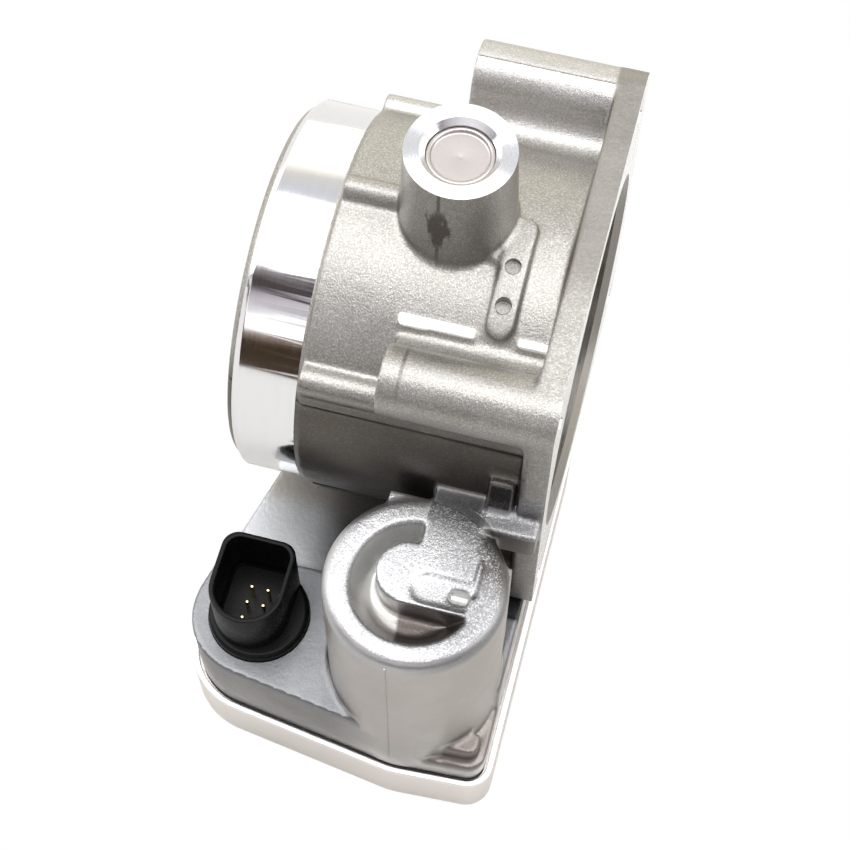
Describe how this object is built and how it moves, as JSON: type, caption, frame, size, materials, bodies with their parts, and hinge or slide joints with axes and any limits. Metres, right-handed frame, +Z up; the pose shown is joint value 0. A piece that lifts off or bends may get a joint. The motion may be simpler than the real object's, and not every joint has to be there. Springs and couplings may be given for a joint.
{
  "type": "throttle body",
  "caption": "Electronic throttle body: bore with butterfly plate, square manifold flange, hose spigot, motor can, gear case with cover and electrical connector.",
  "frame": {"origin": "centre of the bore on the manifold flange face", "axes": "+X out of the manifold flange face, +Z up along the throttle shaft, away from the gear case"},
  "size_m": [0.0815, 0.1394, 0.1534],
  "materials": {
    "cast_aluminium": "shot blasted casting",
    "turned_aluminium": "bright turned",
    "steel": "ground",
    "black_plastic": "glossy moulded",
    "nylon": "glass-filled nylon",
    "brass": "satin",
    "gold_pin": "bright plated",
    "copper": "enamelled copper",
    "rubber": "matt",
    "ferrite": "matt",
    "board": "solder mask"
  },
  "bodies": {
    "housing": {"throttle_housing": "cast_aluminium", "end_plug": "turned_aluminium", "upper_bearing": "steel", "lower_bearing_outer": "steel", "lower_bearing_balls": "steel", "shaft_seals": "rubber", "return_spring": "steel", "idler_pin": "steel", "motor_can": "steel", "motor_end_cap": "nylon", "motor_magnets": "ferrite", "motor_brushes": "ferrite", "motor_bushes": "brass", "wave_washer": "steel", "motor_bracket": "steel", "bracket_screws": "steel", "gear_cover": "cast_aluminium", "cover_gasket": "rubber", "sensor_board": "board", "lead_frame": "copper", "motor_terminals": "copper", "connector_shell": "black_plastic", "connector_pins": "gold_pin", "connector_seal": "rubber", "stop_pins": "steel"},
    "throttle": {"throttle_shaft": "steel", "throttle_plate": "brass", "plate_screws": "steel", "sector_gear": "nylon", "sector_insert": "steel", "sensor_magnets": "ferrite", "lower_bearing_inner": "steel"},
    "idler": {"idler_gear": "nylon"},
    "motor_rotor": {"motor_shaft": "steel", "motor_armature": "copper", "commutator": "copper", "motor_pinion": "brass"}
  },
  "joints": [
    {"name": "throttle_turn", "type": "hinge", "parent": "housing", "child": "throttle", "pos_m": [-0.032, 0, 0], "axis": [0, 0, 1], "range_deg": [-6, 80], "stiffness_Nm_per_rad": 0.06},
    {"name": "idler_turn", "type": "hinge", "parent": "housing", "child": "idler", "pos_m": [-0.03678, -0.03619, -0.07], "axis": [0, 0, 1], "range_deg": [-213, 17]},
    {"name": "motor_turn", "type": "hinge", "parent": "housing", "child": "motor_rotor", "pos_m": [-0.0237, -0.068, -0.04], "axis": [0, 0, 1], "range_deg": [-70, 930]}
  ],
  "couplings": [
    {"joint": "idler_turn", "follows": "throttle_turn", "ratio": -2.65},
    {"joint": "motor_turn", "follows": "throttle_turn", "ratio": 11.594}
  ]
}
